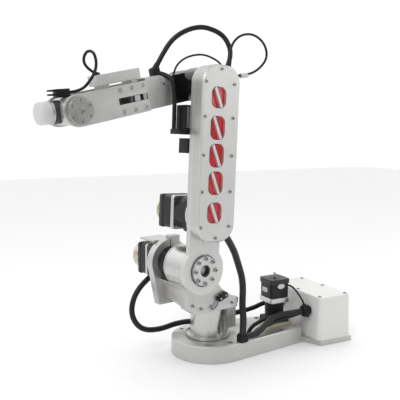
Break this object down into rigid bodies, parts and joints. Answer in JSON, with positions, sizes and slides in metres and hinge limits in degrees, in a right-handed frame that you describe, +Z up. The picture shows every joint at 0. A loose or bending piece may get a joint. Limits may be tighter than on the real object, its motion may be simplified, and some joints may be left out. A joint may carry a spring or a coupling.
{
  "type": "desktop robot arm",
  "caption": "Desktop jointed robot arm on a flat base, with motors on the joints, a covered belt in the upper arm, looped cables and a white wiring box behind.",
  "frame": {"origin": "on the first joint's upright axis, at the base's underside", "axes": "+X ahead from the wiring box to the base's round front, +Y to the arm's left, +Z up; the arm rests turned 10 degrees to its left"},
  "size_m": [0.5838, 0.2096, 0.5705],
  "materials": {
    "silver": "satin",
    "steel": "satin",
    "polished": "polished",
    "black_metal": "satin",
    "black_plastic": "matte",
    "white_plastic": "satin",
    "red_plastic": "gloss",
    "belt_rubber": "matte",
    "lever_steel": "satin",
    "cable_rubber": "matte"
  },
  "bodies": {
    "base": {"base_housing": "silver", "base_deck": "silver", "case_screws": "steel", "j1_mount_plate": "silver", "j1_gearbox": "black_metal", "j1_motor": "black_metal", "j1_belt": "belt_rubber", "enclosure_box": "white_plastic", "enclosure_lid": "white_plastic", "enclosure_gland": "black_plastic", "enclosure_board": "black_plastic", "deck_clip": "black_plastic", "cable_far_run": "cable_rubber", "cable_base_drop": "cable_rubber", "cable_deck_run": "cable_rubber"},
    "j1_drive": {"j1_drive_pulley": "silver"},
    "turret": {"j1_driven_pulley": "silver", "turret_column": "silver", "turret_frame": "silver", "turret_screws": "steel", "j2_barrel": "polished", "j2_gearbox": "black_metal", "j2_motor": "black_metal", "j2_encoder": "polished", "j2_switch": "black_plastic", "cable_front_loop": "cable_rubber"},
    "switch_lever": {"j2_switch_lever": "lever_steel"},
    "upper_arm": {"arm_plate": "silver", "j2_boss": "steel", "hub_bolts": "steel", "cover_box": "silver", "cover_lid": "silver", "cover_screws": "steel", "cover_inlays": "red_plastic", "j3_belt": "belt_rubber", "j3_gearbox": "black_metal", "j3_motor": "black_metal", "j3_encoder": "polished", "arm_connectors": "black_plastic", "cable_arm_bundle": "cable_rubber", "cable_ring": "cable_rubber"},
    "j3_drive": {"j3_drive_pulley": "silver"},
    "elbow": {"j3_spindle": "steel", "elbow_housing": "black_metal", "elbow_block": "silver", "elbow_socket": "black_plastic", "cable_elbow_arc": "cable_rubber", "cable_elbow_drop": "cable_rubber"},
    "forearm": {"forearm_core": "silver", "forearm_plates": "silver", "forearm_screws": "steel", "sensor_tray": "silver", "cable_wrist_loop": "cable_rubber"},
    "wrist_carriage": {"j5_carriage": "steel"},
    "wrist": {"wrist_housing": "silver", "j5_disc": "silver", "j6_gearbox": "black_metal", "wrist_sensor": "black_plastic"},
    "tool": {"tool_flange": "silver", "tool_cap": "white_plastic"}
  },
  "joints": [
    {"name": "base_turn", "type": "hinge", "parent": "base", "child": "turret", "pos_m": [0, 0, 0.04], "axis": [0, 0, 1], "range_deg": [-180, 160], "deforming": ["cable_front_loop", "cable_base_drop"]},
    {"name": "j1_pulley_turn", "type": "hinge", "parent": "base", "child": "j1_drive", "pos_m": [-0.146, 0, 0.014], "axis": [0, 0, 1], "range_deg": [-688, 611]},
    {"name": "shoulder", "type": "hinge", "parent": "turret", "child": "upper_arm", "pos_m": [0.06303, 0.01111, 0.17], "axis": [-0.1736, 0.9848, 0], "range_deg": [-39.2, 92.8], "deforming": ["cable_arm_bundle"]},
    {"name": "switch_press", "type": "hinge", "parent": "turret", "child": "switch_lever", "pos_m": [0.01329, 0.00234, 0.1015], "axis": [-0.1736, 0.9848, 0], "range_deg": [-8, 0], "stiffness_Nm_per_rad": 0.01},
    {"name": "elbow_bend", "type": "hinge", "parent": "upper_arm", "child": "elbow", "pos_m": [0.04836, 0.00853, 0.47464], "axis": [0.1736, -0.9848, 0], "range_deg": [-37.2, 103.8], "deforming": ["cable_elbow_arc", "cable_elbow_drop"]},
    {"name": "j3_pulley_turn", "type": "hinge", "parent": "upper_arm", "child": "j3_drive", "pos_m": [0.0586, 0.01033, 0.26189], "axis": [0.1736, -0.9848, 0], "range_deg": [-59, 164]},
    {"name": "forearm_roll", "type": "hinge", "parent": "elbow", "child": "forearm", "pos_m": [0.04836, 0.00853, 0.47464], "axis": [0.9633, 0.1699, -0.2079], "range_deg": [-164.5, 164.5]},
    {"name": "wrist_bend", "type": "hinge", "parent": "forearm", "child": "wrist", "pos_m": [0.26269, 0.04632, 0.42838], "axis": [-0.1736, 0.9848, 0], "range_deg": [-97, 111], "deforming": ["cable_wrist_loop"]},
    {"name": "carriage_slide", "type": "slide", "parent": "forearm", "child": "wrist_carriage", "axis": [0.9633, 0.1699, -0.2079], "range_m": [-0.0119, 0.0136]},
    {"name": "tool_roll", "type": "hinge", "parent": "wrist", "child": "tool", "pos_m": [0.26269, 0.04632, 0.42838], "axis": [0.9811, 0.173, -0.0872], "range_deg": [-148, 148]}
  ],
  "couplings": [
    {"joint": "j1_pulley_turn", "follows": "base_turn", "ratio": 3.8182},
    {"joint": "j3_pulley_turn", "follows": "elbow_bend", "ratio": 1.5714},
    {"joint": "carriage_slide", "follows": "wrist_bend", "m_per_rad": 0.007}
  ]
}
